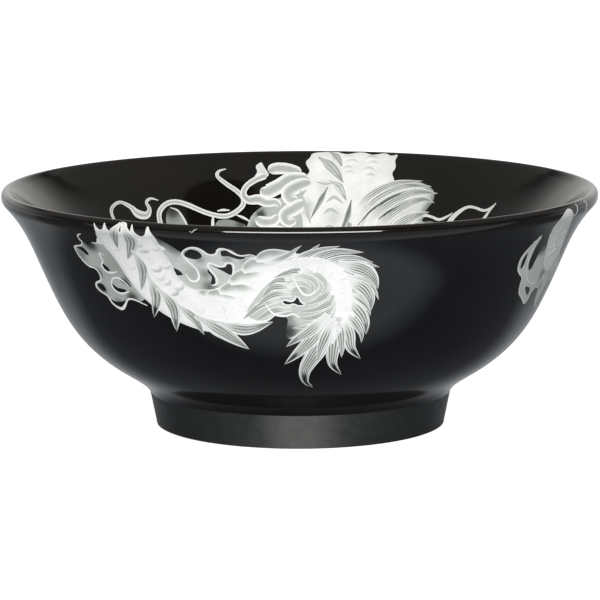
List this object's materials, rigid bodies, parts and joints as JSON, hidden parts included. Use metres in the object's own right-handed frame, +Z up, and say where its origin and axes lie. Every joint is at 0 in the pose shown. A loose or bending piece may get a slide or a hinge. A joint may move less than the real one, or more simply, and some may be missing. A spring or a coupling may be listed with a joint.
{
  "type": "noodle bowl",
  "caption": "Flared noodle bowl on a tapered foot ring, glossy black glaze with a white dragon printed over the rim, outside and inside.",
  "frame": {"origin": "centre of the foot's resting edge, on the surface that the bowl stands on", "axes": "+Z up along the bowl's axis, -Y towards the side with the dragon's tail, +X to that side's right"},
  "size_m": [0.21, 0.21, 0.084],
  "materials": {
    "stoneware": "bare fired clay, matt",
    "gloss_black_glaze": "glossy",
    "rim_black_glaze": "glossy, slightly brown",
    "satin_black_glaze": "satin",
    "white_enamel": "satin print"
  },
  "bodies": {
    "root": {"bowl_body": "stoneware", "foot_ring": "stoneware", "outside_glaze": "gloss_black_glaze", "inside_glaze": "gloss_black_glaze", "rim_glaze": "rim_black_glaze", "foot_glaze": "satin_black_glaze", "recess_glaze": "satin_black_glaze", "front_transfer": "white_enamel", "right_transfer": "white_enamel", "back_transfer": "white_enamel", "inside_transfer": "white_enamel"}
  },
  "joints": []
}
